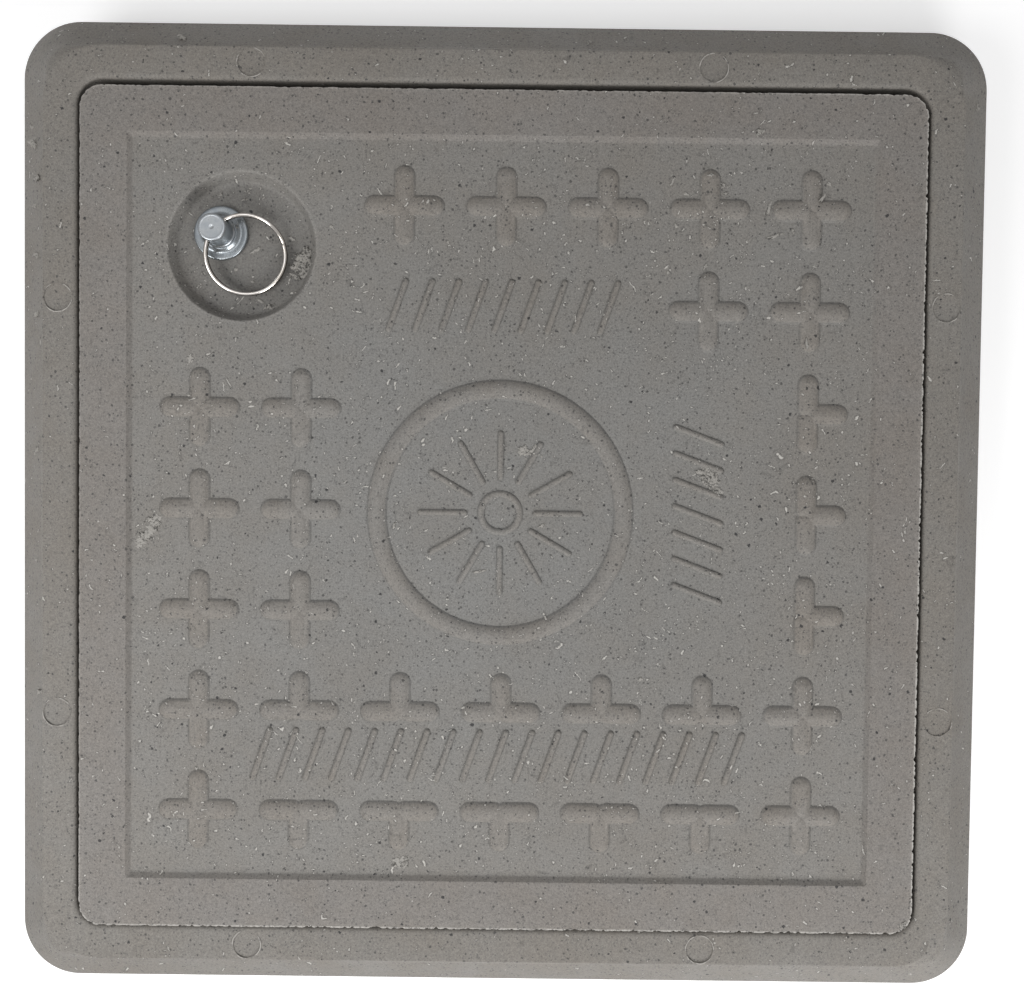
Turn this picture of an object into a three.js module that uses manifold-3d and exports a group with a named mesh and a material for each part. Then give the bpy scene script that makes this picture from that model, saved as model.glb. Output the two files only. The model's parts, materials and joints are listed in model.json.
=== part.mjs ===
// A square inspection cover in its frame: a moulded composite frame and cover plate, and a steel
// lifting pin that slides in a flanged sleeve and carries a split ring.
// Millimetres, +Z up, +X right and +Y away. The origin is the middle of the frame's underside.

import * as THREE from "three";
import { mergeVertices } from "three/addons/utils/BufferGeometryUtils.js";
import Module from "manifold-3d";

const wasm = await Module();
wasm.setup();

// ---- driving dimensions ----

const fit = 0.3; // gap left between two pieces that touch
const snug = 0.1; // gap between two pieces that are clamped together
const overrun = 2; // how far a cutting body runs past the face it cuts
const rootDepth = 1; // how far a raised detail runs down into the panel that it stands on
const mergeDistance = 1e-5;

// frame
const frameHeight = 40;
const frameHalf = 179.2; // half the width over the outer edge of the bevel
const frameCorner = 21.5;
const bevelDrop = 14;
const bevelRun = 13;
const bevelTopCorner = 12;
const skirtDraft = 0.6;
const rimHalf = frameHalf - bevelRun; // half the width of the flat top rim
const cornerSlope = 0.2; // fall per millimetre of the gentle facet on each top corner
const cornerReach = 30;
const mouthHalf = 153.8; // half the width of the hole that the cover drops into
const mouthCorner = 9.5;
const mouthFillet = 1.3;
const wallDraft = 0.8;
const seatHeight = 15;
const throatHalf = 141.8; // half the width of the clear opening below the seat
const throatCorner = 6;
const pocketInner = 161;
const pocketOuter = 171.4;
const pocketRoof = 28;
const pocketsPerSide = 5;
const pocketSpan = 290;
const webWidth = 8;
const ejectorRadius = 5;
const ejectorDepth = 0.3;
const ejectorAcross = 160.4; // from the middle to the marks' centres, square to their side
const ejectorAlongLeft = -91;
const ejectorAlongRight = 75;
const ejectorAlongFlank = 75.5;

// cover plate
const coverShift = -1.0; // the cover sits against the near side of its clearance
const coverHalf = 152.5;
const coverCorner = 8;
const coverTop = frameHeight;
const coverBottom = seatHeight + fit;
const panelHalf = 135.6;
const panelShift = 0.6; // the panel sits a little to the far side of the cover's middle
const panelDepth = 1.7;
const panelSlope = 1.6;
const panelLevel = coverTop - panelDepth;
const skinUnderside = 31;
const ribWidth = 6;
const ribCells = 7;
const cellFieldHalf = 140;

// tread pattern
const treadPitch = 36.8;
const treadShiftX = 1.0;
const treadShiftY = 0.4;
const armReach = 14.8;
const armWidth = 8.1;
const armTopWidth = 3.4;
const armHeight = 1.6;
const barWidth = 2.6;
const barTopWidth = 1.3;
const barHeight = 0.9;
const barPitch = 9.6;
const barLean = 7;
const bandHeight = 20;
const farBand = { x: 0.3, y: 75, length: 88, height: bandHeight, upright: false };
const rightBand = { x: 71.9, y: 0.2, length: 69, height: bandHeight - 1, upright: true };
const nearBand = { x: 0, y: -89.2, length: 183, height: bandHeight, upright: false };
const roundelMean = 44.9;
const roundelWidth = 7.6;
const rayCount = 12;
const rayInner = 13;
const rayOuter = 29;
const hubMean = 7;
const hubWidth = 3;

// finger dish and the boss below it
const dishX = -94.65;
const dishY = 95.7;
const dishRimRadius = 26.9;
const dishFloorRadius = 24.3;
const dishFloor = 32.9;
const dishEdge = 1.0;
const bossRadius = 32;
const bossUnderside = 22.9;
const nutClearRadius = 15;

// sleeve, washers and nut
const pinX = -103.3;
const pinY = 101.1;
const sleeveRadius = 7;
const sleeveBore = 5.3;
const flangeRadius = 9.9;
const flangeThickness = 1.6;
const flangeEdge = 0.9; // rounding of the flange's upper edge
const hubRise = 0.9; // height of the cone round the bore, above the flange
const hubFoot = 7.2;
const hubTop = 5.9;
const sleeveEnd = 16;
const sleeveChamfer = 0.6;
const washerRadius = 12;
const washerThickness = 1.5;
const washerEdge = 0.2;
const nutAcrossFlats = 21;
const nutThickness = 4;
const nutChamfer = 0.8;
const nutTurn = 12; // degrees

// pin and ring
const pinRadius = 5;
const pinTop = 45.8;
const pinChamfer = 0.9;
const pinShank = 40;
const shoulderRadius = 5.7; // the shoulder that rests on the sleeve and stops the pin dropping
const shoulderHeight = 0.6;
const shoulderFlare = 0.7;
const headRadius = 9;
const headThickness = 3.5;
const headChamfer = 0.6;
const pinWasherThickness = 1.6;
const ringHoleHeight = 39.2;
const ringHoleRadius = 2.5;
const ringHoleHeading = 50; // degrees from +X of the cross hole's axis
const wireRadius = 0.75;
const coilGap = 0.12;
const ringMean = 14.1;
const ringReach = 13.05; // from the cross hole's centre to the ring's centre
const ringEndAngle = 0.34;
const ringEndHeading = 77; // degrees round the ring from its far side to the wire ends
const crossoverAngle = 0.3;

// ---- materials ----

function material(color, roughness, metalness) {
  return new THREE.MeshStandardMaterial({ color, roughness, metalness });
}

const composite = material(0x817e7a, 0.72, 0);
const zincPlate = material(0xa9b2b8, 0.32, 1);
const nickelWire = material(0xd8cdc2, 0.22, 1);

// ---- solids ----

function toSolid(geometry) {
  const bare = geometry.clone();
  bare.deleteAttribute("normal");
  bare.deleteAttribute("uv");
  const merged = mergeVertices(bare, mergeDistance);
  const mesh = new wasm.Mesh({
    numProp: 3,
    vertProperties: new Float32Array(merged.attributes.position.array),
    triVerts: new Uint32Array(merged.index.array),
  });
  return new wasm.Manifold(mesh);
}

function toGeometry(solid) {
  const mesh = solid.getMesh();
  const geometry = new THREE.BufferGeometry();
  geometry.setAttribute("position", new THREE.BufferAttribute(mesh.vertProperties, 3));
  geometry.setIndex(new THREE.BufferAttribute(mesh.triVerts, 1));
  geometry.computeVertexNormals();
  return geometry;
}

function cut(solid, tools) {
  return tools.reduce((rest, tool) => rest.subtract(tool), solid);
}

function join(solids) {
  return solids.reduce((whole, solid) => whole.add(solid));
}

// A closed body through a stack of outlines that all have the same number of points.
// Each level is { outline, z }, lowest first, and each outline runs anticlockwise.
function loft(levels) {
  const count = levels[0].outline.length;
  const positions = levels.flatMap(({ outline, z }) => outline.flatMap((p) => [p.x, p.y, z]));
  const index = [];
  for (let level = 0; level < levels.length - 1; level += 1) {
    for (let i = 0; i < count; i += 1) {
      const a = level * count + i;
      const b = level * count + ((i + 1) % count);
      index.push(a, b, b + count, a, b + count, a + count);
    }
  }
  const lastRow = (levels.length - 1) * count;
  for (const [a, b, c] of THREE.ShapeUtils.triangulateShape(levels[0].outline, [])) {
    index.push(c, b, a);
  }
  for (const [a, b, c] of THREE.ShapeUtils.triangulateShape(levels.at(-1).outline, [])) {
    index.push(lastRow + a, lastRow + b, lastRow + c);
  }
  const geometry = new THREE.BufferGeometry();
  geometry.setAttribute("position", new THREE.Float32BufferAttribute(positions, 3));
  geometry.setIndex(index);
  return geometry;
}

// The outline of a square with rounded corners, as points.
function roundedSquare(half, corner, steps = 10) {
  const points = [];
  const inset = half - corner;
  for (let quarter = 0; quarter < 4; quarter += 1) {
    const middle = (quarter + 0.5) * (Math.PI / 2);
    const cx = inset * Math.sign(Math.cos(middle));
    const cy = inset * Math.sign(Math.sin(middle));
    for (let i = 0; i <= steps; i += 1) {
      const turn = (quarter + i / steps) * (Math.PI / 2);
      points.push(new THREE.Vector2(cx + corner * Math.cos(turn), cy + corner * Math.sin(turn)));
    }
  }
  return points;
}

// The outline of a bar with round ends: from one point to another, with its full width.
function barOutline(start, end, width, steps = 5) {
  const along = new THREE.Vector2().subVectors(end, start);
  const heading = along.angle();
  const points = [];
  for (const [centre, from] of [[end, heading - Math.PI / 2], [start, heading + Math.PI / 2]]) {
    for (let i = 0; i <= steps; i += 1) {
      const turn = from + (i / steps) * Math.PI;
      points.push(
        new THREE.Vector2(
          centre.x + (width / 2) * Math.cos(turn),
          centre.y + (width / 2) * Math.sin(turn),
        ),
      );
    }
  }
  return points;
}

// A raised bar that stands on the panel and narrows towards its top.
function raisedBar(x0, y0, x1, y1, width, topWidth, height, steps) {
  const start = new THREE.Vector2(x0, y0);
  const end = new THREE.Vector2(x1, y1);
  return toSolid(
    loft([
      { outline: barOutline(start, end, width, steps), z: panelLevel - rootDepth },
      { outline: barOutline(start, end, width, steps), z: panelLevel },
      { outline: barOutline(start, end, topWidth, steps), z: panelLevel + height },
    ]),
  );
}

function box(width, depth, height, x, y, z) {
  const geometry = new THREE.BoxGeometry(width, depth, height);
  geometry.translate(x, y, z + height / 2);
  return toSolid(geometry);
}

// A body turned round the vertical axis at x, y, from [radius, height] pairs.
function turnedGeometry(profile, segments) {
  const geometry = new THREE.LatheGeometry(
    profile.map(([radius, height]) => new THREE.Vector2(radius, height)),
    segments,
  );
  geometry.rotateX(Math.PI / 2);
  return geometry;
}

function turned(profile, x, y, segments) {
  const geometry = turnedGeometry(profile, segments);
  geometry.translate(x, y, 0);
  return toSolid(geometry);
}

function disc(radius, bottom, top, x, y, segments) {
  return turned([[0, bottom], [radius, bottom], [radius, top], [0, top]], x, y, segments);
}

// ---- frame ----

function frameBody() {
  const outer = toSolid(
    loft([
      { outline: roundedSquare(frameHalf - skirtDraft, frameCorner - skirtDraft), z: 0 },
      { outline: roundedSquare(frameHalf, frameCorner), z: frameHeight - bevelDrop },
      { outline: roundedSquare(rimHalf, bevelTopCorner), z: frameHeight },
    ]),
  );
  const spread = roundedSquare(rimHalf + cornerReach, frameCorner + cornerReach);
  const cornerEasing = toSolid(
    loft([
      { outline: spread, z: -overrun },
      { outline: spread, z: frameHeight - cornerReach * cornerSlope },
      { outline: roundedSquare(rimHalf, frameCorner), z: frameHeight },
    ]),
  );
  return outer.intersect(cornerEasing);
}

function frameMouth() {
  const filletMiddle = mouthFillet * (1 - Math.SQRT1_2);
  return toSolid(
    loft([
      { outline: roundedSquare(mouthHalf - wallDraft, mouthCorner - wallDraft), z: seatHeight },
      { outline: roundedSquare(mouthHalf, mouthCorner), z: frameHeight - mouthFillet },
      {
        outline: roundedSquare(mouthHalf + filletMiddle, mouthCorner + filletMiddle),
        z: frameHeight - filletMiddle,
      },
      { outline: roundedSquare(mouthHalf + mouthFillet, mouthCorner + mouthFillet), z: frameHeight },
      {
        outline: roundedSquare(mouthHalf + mouthFillet, mouthCorner + mouthFillet),
        z: frameHeight + overrun,
      },
    ]),
  );
}

function frameThroat() {
  const outline = roundedSquare(throatHalf, throatCorner, 4);
  return toSolid(loft([{ outline, z: -overrun }, { outline, z: seatHeight + overrun }]));
}

// The hollows in the frame's underside, between its webs.
function framePockets() {
  const cell = pocketSpan / pocketsPerSide;
  const length = cell - webWidth;
  const width = pocketOuter - pocketInner;
  const height = pocketRoof + overrun;
  const across = (pocketOuter + pocketInner) / 2;
  const pockets = [];
  for (let i = 0; i < pocketsPerSide; i += 1) {
    const along = (i - (pocketsPerSide - 1) / 2) * cell;
    for (const side of [-1, 1]) {
      pockets.push(box(length, width, height, along, side * across, -overrun));
      pockets.push(box(width, length, height, side * across, along, -overrun));
    }
  }
  return pockets;
}

function ejectorMarks() {
  const places = [];
  for (const side of [-1, 1]) {
    places.push([ejectorAlongLeft, side * ejectorAcross]);
    places.push([ejectorAlongRight, side * ejectorAcross]);
    places.push([side * ejectorAcross, -ejectorAlongFlank]);
    places.push([side * ejectorAcross, ejectorAlongFlank]);
  }
  const floor = frameHeight - ejectorDepth;
  return places.map(([x, y]) => disc(ejectorRadius, floor, frameHeight + overrun, x, y, 20));
}

function frame() {
  return cut(frameBody(), [frameMouth(), frameThroat(), ...framePockets(), ...ejectorMarks()]);
}

// ---- cover plate ----

function plateBody() {
  return toSolid(
    loft([
      { outline: roundedSquare(coverHalf - wallDraft, coverCorner - wallDraft, 8), z: coverBottom },
      { outline: roundedSquare(coverHalf, coverCorner, 8), z: coverTop },
    ]),
  );
}

function panelOutline(half) {
  const corners = [[1, 1], [-1, 1], [-1, -1], [1, -1]];
  return corners.map(([x, y]) => new THREE.Vector2(x * half, panelShift + y * half));
}

function panelRecess() {
  return toSolid(
    loft([
      { outline: panelOutline(panelHalf - panelSlope), z: panelLevel },
      { outline: panelOutline(panelHalf), z: coverTop },
      { outline: panelOutline(panelHalf), z: coverTop + overrun },
    ]),
  );
}

// One tread cross, with the arms that are asked for out of left, right, down and up.
function treadCross(column, row, arms) {
  const x = (column - 4) * treadPitch + treadShiftX;
  const y = (4 - row) * treadPitch + treadShiftY;
  const reach = armReach - armWidth / 2;
  const arm = (x0, y0, x1, y1) => raisedBar(x0, y0, x1, y1, armWidth, armTopWidth, armHeight);
  const level = arm(x - (arms.left ? reach : 0), y, x + (arms.right ? reach : 0), y);
  const upright = arm(x, y - (arms.down ? reach : 0), x, y + (arms.up ? reach : 0));
  return level.add(upright);
}

// The seven by seven grid of crosses, less those that the dish, the roundel and the three
// hatched bands take, and with an arm left off beside a band.
function treadGrid() {
  const whole = { left: true, right: true, down: true, up: true };
  const crosses = [];
  for (let column = 3; column <= 7; column += 1) {
    crosses.push(treadCross(column, 1, whole));
  }
  crosses.push(treadCross(6, 2, whole), treadCross(7, 2, whole));
  for (let row = 3; row <= 5; row += 1) {
    crosses.push(treadCross(1, row, whole), treadCross(2, row, whole));
    crosses.push(treadCross(7, row, { ...whole, left: false }));
  }
  for (const [row, missing] of [[6, "down"], [7, "up"]]) {
    crosses.push(treadCross(1, row, whole), treadCross(7, row, whole));
    for (let column = 2; column <= 6; column += 1) {
      crosses.push(treadCross(column, row, { ...whole, [missing]: false }));
    }
  }
  return crosses;
}

// A band of plain slanted bars, centred at x, y. An upright band runs along Y.
function hatchedBand({ x, y, length, height, upright }) {
  const count = Math.floor((length - barLean) / barPitch) + 1;
  const reach = height / 2 - barWidth / 2;
  return Array.from({ length: count }, (_, i) => {
    const along = (i - (count - 1) / 2) * barPitch;
    const low = along - barLean / 2;
    const high = along + barLean / 2;
    const ends = upright ? [reach, low, -reach, high] : [low, -reach, high, reach];
    const [x0, y0, x1, y1] = ends;
    return raisedBar(x + x0, y + y0, x + x1, y + y1, barWidth, barTopWidth, barHeight, 2);
  });
}

function hatchedBands() {
  return [farBand, rightBand, nearBand].flatMap(hatchedBand);
}

function raisedCircle(mean, width, topWidth, height, segments) {
  const low = panelLevel - rootDepth;
  const high = panelLevel + height;
  const profile = [
    [mean - width / 2, low],
    [mean + width / 2, low],
    [mean + width / 2, panelLevel],
    [mean + topWidth / 2, high],
    [mean - topWidth / 2, high],
    [mean - width / 2, panelLevel],
    [mean - width / 2, low],
  ];
  return turned(profile, 0, 0, segments);
}

// The roundel: a raised circle with plain rays round a small hub circle.
function roundel() {
  const rays = Array.from({ length: rayCount }, (_, i) => {
    const turn = (i / rayCount) * Math.PI * 2;
    const c = Math.cos(turn);
    const s = Math.sin(turn);
    const ends = [rayInner * c, rayInner * s, rayOuter * c, rayOuter * s];
    return raisedBar(...ends, barWidth, barTopWidth, barHeight, 2);
  });
  return [
    raisedCircle(roundelMean, roundelWidth, armTopWidth, armHeight, 56),
    raisedCircle(hubMean, hubWidth, barTopWidth, barHeight, 24),
    ...rays,
  ];
}

function fingerDish() {
  const profile = [
    [0, dishFloor],
    [dishFloorRadius - dishEdge / 2, dishFloor],
    [dishFloorRadius, dishFloor + dishEdge / 3],
    [dishRimRadius, panelLevel - dishEdge / 2],
    [dishRimRadius + dishEdge, panelLevel],
    [dishRimRadius + dishEdge, coverTop + overrun],
    [0, coverTop + overrun],
  ];
  return turned(profile, dishX, dishY, 48);
}

// The square hollows between the ribs under the plate, less the boss under the dish.
function ribHollows() {
  const pitch = (2 * cellFieldHalf + ribWidth) / ribCells;
  const size = pitch - ribWidth;
  const height = skinUnderside - coverBottom + overrun;
  const boss = disc(bossRadius, bossUnderside, coverTop, dishX, dishY, 32);
  const hollows = [];
  for (let i = 0; i < ribCells; i += 1) {
    for (let j = 0; j < ribCells; j += 1) {
      const x = (i - (ribCells - 1) / 2) * pitch;
      const y = (j - (ribCells - 1) / 2) * pitch;
      hollows.push(box(size, size, height, x, y, coverBottom - overrun));
    }
  }
  return join(hollows).subtract(boss);
}

function coverPlate() {
  const pinHole = disc(sleeveRadius + fit, coverBottom, coverTop, pinX, pinY, 32);
  const nutSpace = disc(nutClearRadius, coverBottom - overrun, bossUnderside, pinX, pinY, 32);
  const sunk = plateBody().subtract(panelRecess());
  const treaded = join([sunk, ...treadGrid(), ...hatchedBands(), ...roundel()]);
  return cut(treaded, [fingerDish(), ribHollows(), pinHole, nutSpace]);
}

// ---- pin, sleeve and fasteners, each about its own vertical axis ----

const flangeSeat = dishFloor + snug;
const flangeTop = flangeSeat + flangeThickness;
const sleeveTop = flangeTop + hubRise;

function pinSleeve() {
  return turnedGeometry(
    [
      [sleeveBore, sleeveEnd],
      [sleeveRadius - sleeveChamfer, sleeveEnd],
      [sleeveRadius, sleeveEnd + sleeveChamfer],
      [sleeveRadius, flangeSeat],
      [flangeRadius - flangeEdge / 3, flangeSeat],
      [flangeRadius, flangeSeat + flangeEdge / 3],
      [flangeRadius, flangeTop - flangeEdge],
      [flangeRadius - flangeEdge * 0.3, flangeTop - flangeEdge * 0.3],
      [flangeRadius - flangeEdge, flangeTop],
      [hubFoot, flangeTop],
      [hubTop, sleeveTop],
      [sleeveBore, sleeveTop],
      [sleeveBore, sleeveEnd],
    ],
    40,
  );
}

function washer(inner, outer, thickness) {
  return turnedGeometry(
    [
      [inner, 0],
      [outer - washerEdge, 0],
      [outer, washerEdge],
      [outer, thickness - washerEdge],
      [outer - washerEdge, thickness],
      [inner, thickness],
      [inner, 0],
    ],
    36,
  );
}

// A hexagon with its corners rounded off at top and bottom, as on any turned nut.
function sleeveNut() {
  const corner = nutAcrossFlats / 2 / Math.cos(Math.PI / 6);
  const hexagon = new THREE.CylinderGeometry(corner, corner, nutThickness, 6);
  hexagon.rotateX(Math.PI / 2);
  hexagon.translate(0, 0, nutThickness / 2);
  const rounding = turned(
    [
      [0, 0],
      [corner - nutChamfer, 0],
      [corner + fit, nutChamfer],
      [corner + fit, nutThickness - nutChamfer],
      [corner - nutChamfer, nutThickness],
      [0, nutThickness],
    ],
    0,
    0,
    36,
  );
  const bore = disc(sleeveRadius + snug, -overrun, nutThickness + overrun, 0, 0, 36);
  return toGeometry(toSolid(hexagon).intersect(rounding).subtract(bore));
}

const headTop = pinTop - pinShank;

function liftingPin() {
  const headBottom = headTop - headThickness;
  const shoulderFoot = sleeveTop + snug;
  const shoulderTop = shoulderFoot + shoulderHeight;
  const body = turned(
    [
      [0, headBottom],
      [headRadius - headChamfer, headBottom],
      [headRadius, headBottom + headChamfer],
      [headRadius, headTop],
      [pinRadius, headTop],
      [pinRadius, shoulderFoot],
      [shoulderRadius, shoulderFoot],
      [shoulderRadius, shoulderTop],
      [pinRadius + shoulderFlare / 4, shoulderTop + shoulderFlare / 4],
      [pinRadius, shoulderTop + shoulderFlare],
      [pinRadius, pinTop - pinChamfer],
      [pinRadius - pinChamfer * 0.3, pinTop - pinChamfer * 0.35],
      [pinRadius - pinChamfer, pinTop],
      [0, pinTop],
    ],
    0,
    0,
    40,
  );
  const hole = new THREE.CylinderGeometry(ringHoleRadius, ringHoleRadius, pinRadius * 4, 20);
  hole.rotateZ(Math.PI / 2);
  hole.rotateZ(THREE.MathUtils.degToRad(ringHoleHeading));
  hole.translate(0, 0, ringHoleHeight);
  return toGeometry(body.subtract(toSolid(hole)));
}

// The wire's centre line: two flat coils, with a short crossover from the lower to the upper.
class SplitRingPath extends THREE.Curve {
  getPoint(t, target = new THREE.Vector3()) {
    const turn = ringEndAngle + t * (4 * Math.PI - 2 * ringEndAngle);
    const along = THREE.MathUtils.clamp((turn - 2 * Math.PI) / crossoverAngle, -1, 1);
    const rise = (along * (3 - along * along)) / 2;
    const height = rise * (wireRadius + coilGap / 2);
    return target.set(ringMean * Math.cos(turn), ringMean * Math.sin(turn), height);
  }
}

function splitRing() {
  const section = new THREE.Shape();
  section.absarc(0, 0, wireRadius, 0, Math.PI * 2);
  return new THREE.ExtrudeGeometry(section, {
    curveSegments: 4,
    steps: 88,
    extrudePath: new SplitRingPath(),
  });
}

// ---- scene graph ----

function node(name, geometry, look) {
  const mesh = new THREE.Mesh(geometry, look);
  mesh.name = name;
  return mesh;
}

const cover = new THREE.Group();
cover.position.set(0, coverShift, 0);
cover.add(node("cover_plate", toGeometry(coverPlate()), composite));

const pinGroup = new THREE.Group();
pinGroup.position.set(pinX, pinY, 0);
cover.add(pinGroup);
pinGroup.add(node("pin_sleeve", pinSleeve(), zincPlate));

const flatWasher = washer(sleeveRadius + fit, washerRadius, washerThickness);
const sleeveWasher = node("sleeve_washer", flatWasher, zincPlate);
sleeveWasher.position.z = bossUnderside - snug - washerThickness;
pinGroup.add(sleeveWasher);

const nut = node("sleeve_nut", sleeveNut(), zincPlate);
nut.position.z = sleeveWasher.position.z - snug - nutThickness;
nut.rotation.z = THREE.MathUtils.degToRad(nutTurn);
pinGroup.add(nut);

pinGroup.add(node("lifting_pin", liftingPin(), zincPlate));

const stopWasher = washer(pinRadius + fit, headRadius, pinWasherThickness);
const pinWasher = node("pin_washer", stopWasher, zincPlate);
pinWasher.position.z = headTop + snug;
pinGroup.add(pinWasher);

// The ring hangs from the cross hole, and its far side lies on the dish floor.
const ringTilt = Math.asin(
  (ringHoleHeight - dishFloor - fit - 2 * wireRadius - coilGap / 2) / (ringReach + ringMean),
);
const ringMount = new THREE.Group();
ringMount.position.set(0, 0, ringHoleHeight);
ringMount.rotation.z = THREE.MathUtils.degToRad(ringHoleHeading - 90);
pinGroup.add(ringMount);
const ringTiltGroup = new THREE.Group();
ringTiltGroup.rotation.y = ringTilt;
ringMount.add(ringTiltGroup);
const ring = node("split_ring", splitRing(), nickelWire);
ring.position.x = ringReach;
ring.rotation.z = THREE.MathUtils.degToRad(ringEndHeading);
ringTiltGroup.add(ring);

const part = new THREE.Group();
part.add(node("frame", toGeometry(frame()), composite));
part.add(cover);

export default part;
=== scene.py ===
"""A square inspection cover in its frame, with a steel lifting pin and a split ring.

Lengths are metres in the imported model's own frame: +Z up, +X right and +Y away.
"""

import json
import math
import random

import bpy
import numpy as np
from mathutils import Matrix, Vector, noise


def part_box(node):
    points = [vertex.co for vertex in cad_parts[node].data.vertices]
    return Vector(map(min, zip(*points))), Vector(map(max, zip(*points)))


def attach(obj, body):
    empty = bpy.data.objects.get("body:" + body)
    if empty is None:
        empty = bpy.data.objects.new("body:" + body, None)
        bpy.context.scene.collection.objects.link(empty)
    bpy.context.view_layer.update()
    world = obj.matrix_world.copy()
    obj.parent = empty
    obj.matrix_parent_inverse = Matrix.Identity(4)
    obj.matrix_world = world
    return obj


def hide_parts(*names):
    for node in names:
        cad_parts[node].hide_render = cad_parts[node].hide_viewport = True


MM = 0.001

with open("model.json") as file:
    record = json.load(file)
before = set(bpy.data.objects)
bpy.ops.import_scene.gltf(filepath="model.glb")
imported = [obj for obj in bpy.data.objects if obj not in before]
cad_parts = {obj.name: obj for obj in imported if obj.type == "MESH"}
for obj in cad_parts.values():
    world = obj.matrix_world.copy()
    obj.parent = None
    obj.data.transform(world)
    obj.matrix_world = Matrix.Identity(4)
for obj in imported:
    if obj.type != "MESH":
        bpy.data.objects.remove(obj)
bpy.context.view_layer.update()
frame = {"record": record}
random.seed(12)
noise.seed_set(12)

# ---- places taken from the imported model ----

FRAME_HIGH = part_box("frame")[1]
COVER_LOW, COVER_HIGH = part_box("cover_plate")
SLEEVE_LOW, SLEEVE_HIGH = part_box("pin_sleeve")
PIN_LOW, PIN_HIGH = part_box("lifting_pin")
JOINTS = {joint["name"]: joint for joint in frame["record"]["behaviour"]["joints"]}
PIN_AXIS = Vector(JOINTS["pin_turn"]["pos_m"])
RING_PIVOT = Vector(JOINTS["ring_swing"]["pos_m"])
RING_HINGE = Vector(JOINTS["ring_swing"]["axis"]).normalized()
COVER_CENTRE = Vector(((COVER_LOW[0] + COVER_HIGH[0]) / 2, (COVER_LOW[1] + COVER_HIGH[1]) / 2, 0))
TOP = FRAME_HIGH[2]

# ---- sizes ----

FRAME_HALF = FRAME_HIGH[0]
BEVEL_RUN = 13 * MM
BEVEL_DROP = 14 * MM
RIM_HALF = FRAME_HALF - BEVEL_RUN
FRAME_CORNER = 21.5 * MM
WALL_LEAN = 0.6 * MM
RIM_CORNER = 21 * MM
CREASE_WIDTH = 0.35 * MM
CREASE_FALL = 0.8 * MM
BEVEL_CORNER = 12 * MM
CORNER_SLOPE = 0.2
MOUTH_HALF = 153.8 * MM
MOUTH_CORNER = 9.5 * MM
MOUTH_LEAN = 0.8 * MM
SEAT = 15 * MM
THROAT_HALF = 141.8 * MM
THROAT_CORNER = 6 * MM

COVER_HALF = (COVER_HIGH[0] - COVER_LOW[0]) / 2
COVER_CORNER = 8 * MM
COVER_BOTTOM = COVER_LOW[2]
PANEL_HALF = 135.6 * MM
PANEL_SHIFT = np.array([0, 0.6]) * MM
PANEL_CORNER = 0.9 * MM
PANEL = TOP - 1.7 * MM
RAISED_ROOT = PANEL - 1 * MM
SKIN_UNDERSIDE = 31 * MM
BOSS_RADIUS = 32 * MM
BOSS_UNDERSIDE = 22.9 * MM
SLEEVE_HOLE = 7.3 * MM
PIN_CLEARANCE = 5.3 * MM

TREAD_PITCH = 36.8 * MM
TREAD_MIDDLE = 4
TREAD_SHIFT = Vector((1.0, 0.4, 0)) * MM
ARM_REACH = 14.8 * MM
ARM_ROOT = 1.9 * MM
ARM_WIDTH = 8.1 * MM
ARM_HEIGHT = 1.6 * MM
BAR_WIDTH = 2.6 * MM
BAR_HEIGHT = 0.9 * MM
BAR_PITCH = 9.6 * MM
BAR_LEAN = 7 * MM
ROUNDEL_MEAN = 44.9 * MM
ROUNDEL_WIDTH = 7.6 * MM
RAYS = 12
RAY_START = 11.7 * MM
RAY_END = 30.3 * MM
HUB_MEAN = 7 * MM
HUB_WIDTH = 3 * MM

DISH = Vector((-94.65, 95.7, 0)) * MM
DISH_RIM = 26.9 * MM
DISH_FLOOR_RADIUS = 24.3 * MM
FLANGE_TOP = SLEEVE_HIGH[2] - 0.9 * MM
DISH_FLOOR = FLANGE_TOP - 1.7 * MM

WIRE = 0.75 * MM
COIL_GAP = 0.12 * MM
RING_MEAN = 14.1 * MM
RING_REACH = 13.05 * MM

# ---- camera, fitted to the photograph ----

CAMERA_PLACE = (0.01183, 0.02727, 0.41694)
CAMERA_TURN_DEGREES = Vector((-1.4735, -0.0585, 0.7078))
CAMERA_LENS_MM = 36.604
CAMERA_SHIFT = (-0.0218, -0.0347)

# ---- lights ----

LIGHT_SIZE = 0.4
KEY_PLACE = (0.295, -0.588, 0.434)
KEY_WATTS = 3.12
SIDE_PLACE = (-0.40, -0.18, 0.515)
SIDE_WATTS = 1.95
HORIZON_GLOW = (0.44, 0.44, 0.45)
SKY_GLOW = (0.72, 0.31), (0.93, 0.45)
ZENITH_GLOW = (1.7, 1.7, 1.72)
SKY_STRENGTH = 0.97

# ---- colours ----

FRAME_TONE = (0.2055, 0.1990, 0.1865)
BORDER_TONE = (0.2110, 0.2030, 0.1935)
PANEL_TONE = (0.2145, 0.2115, 0.2025)
BROWNER = (1.045, 0.99, 0.935)
DUSTY = (1.03, 1.0, 0.975)
RAW_LIP = (0.46, 0.44, 0.41)
RAW_BURR = (0.44, 0.42, 0.39)
TINY_SPECK = (0.09, 0.088, 0.085)
SMALL_SPECK = (0.06, 0.058, 0.056)
LARGE_SPECK = (0.030, 0.030, 0.031)
PALE_SPECK = (0.56, 0.54, 0.50)
# Dark pit colours for the grit scraps: painted shade for the cracks between grains.
FRAME_GRIT_CRACK_SHADE = (0.12, 0.114, 0.104)
COVER_GRIT_CRACK_SHADE = (0.07, 0.066, 0.06)
GRIT_TONE = (0.31, 0.295, 0.27)
# Painted shade for the cracks between the flakes' grains.
FLAKE_CRACK_SHADE = (0.11, 0.105, 0.096)
FLAKE_TONE = (0.325, 0.31, 0.285)
SCRAP_SPARKLE = (0.45, 0.435, 0.40)
BRIGHT_ZINC = (0.54, 0.565, 0.58)
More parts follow.
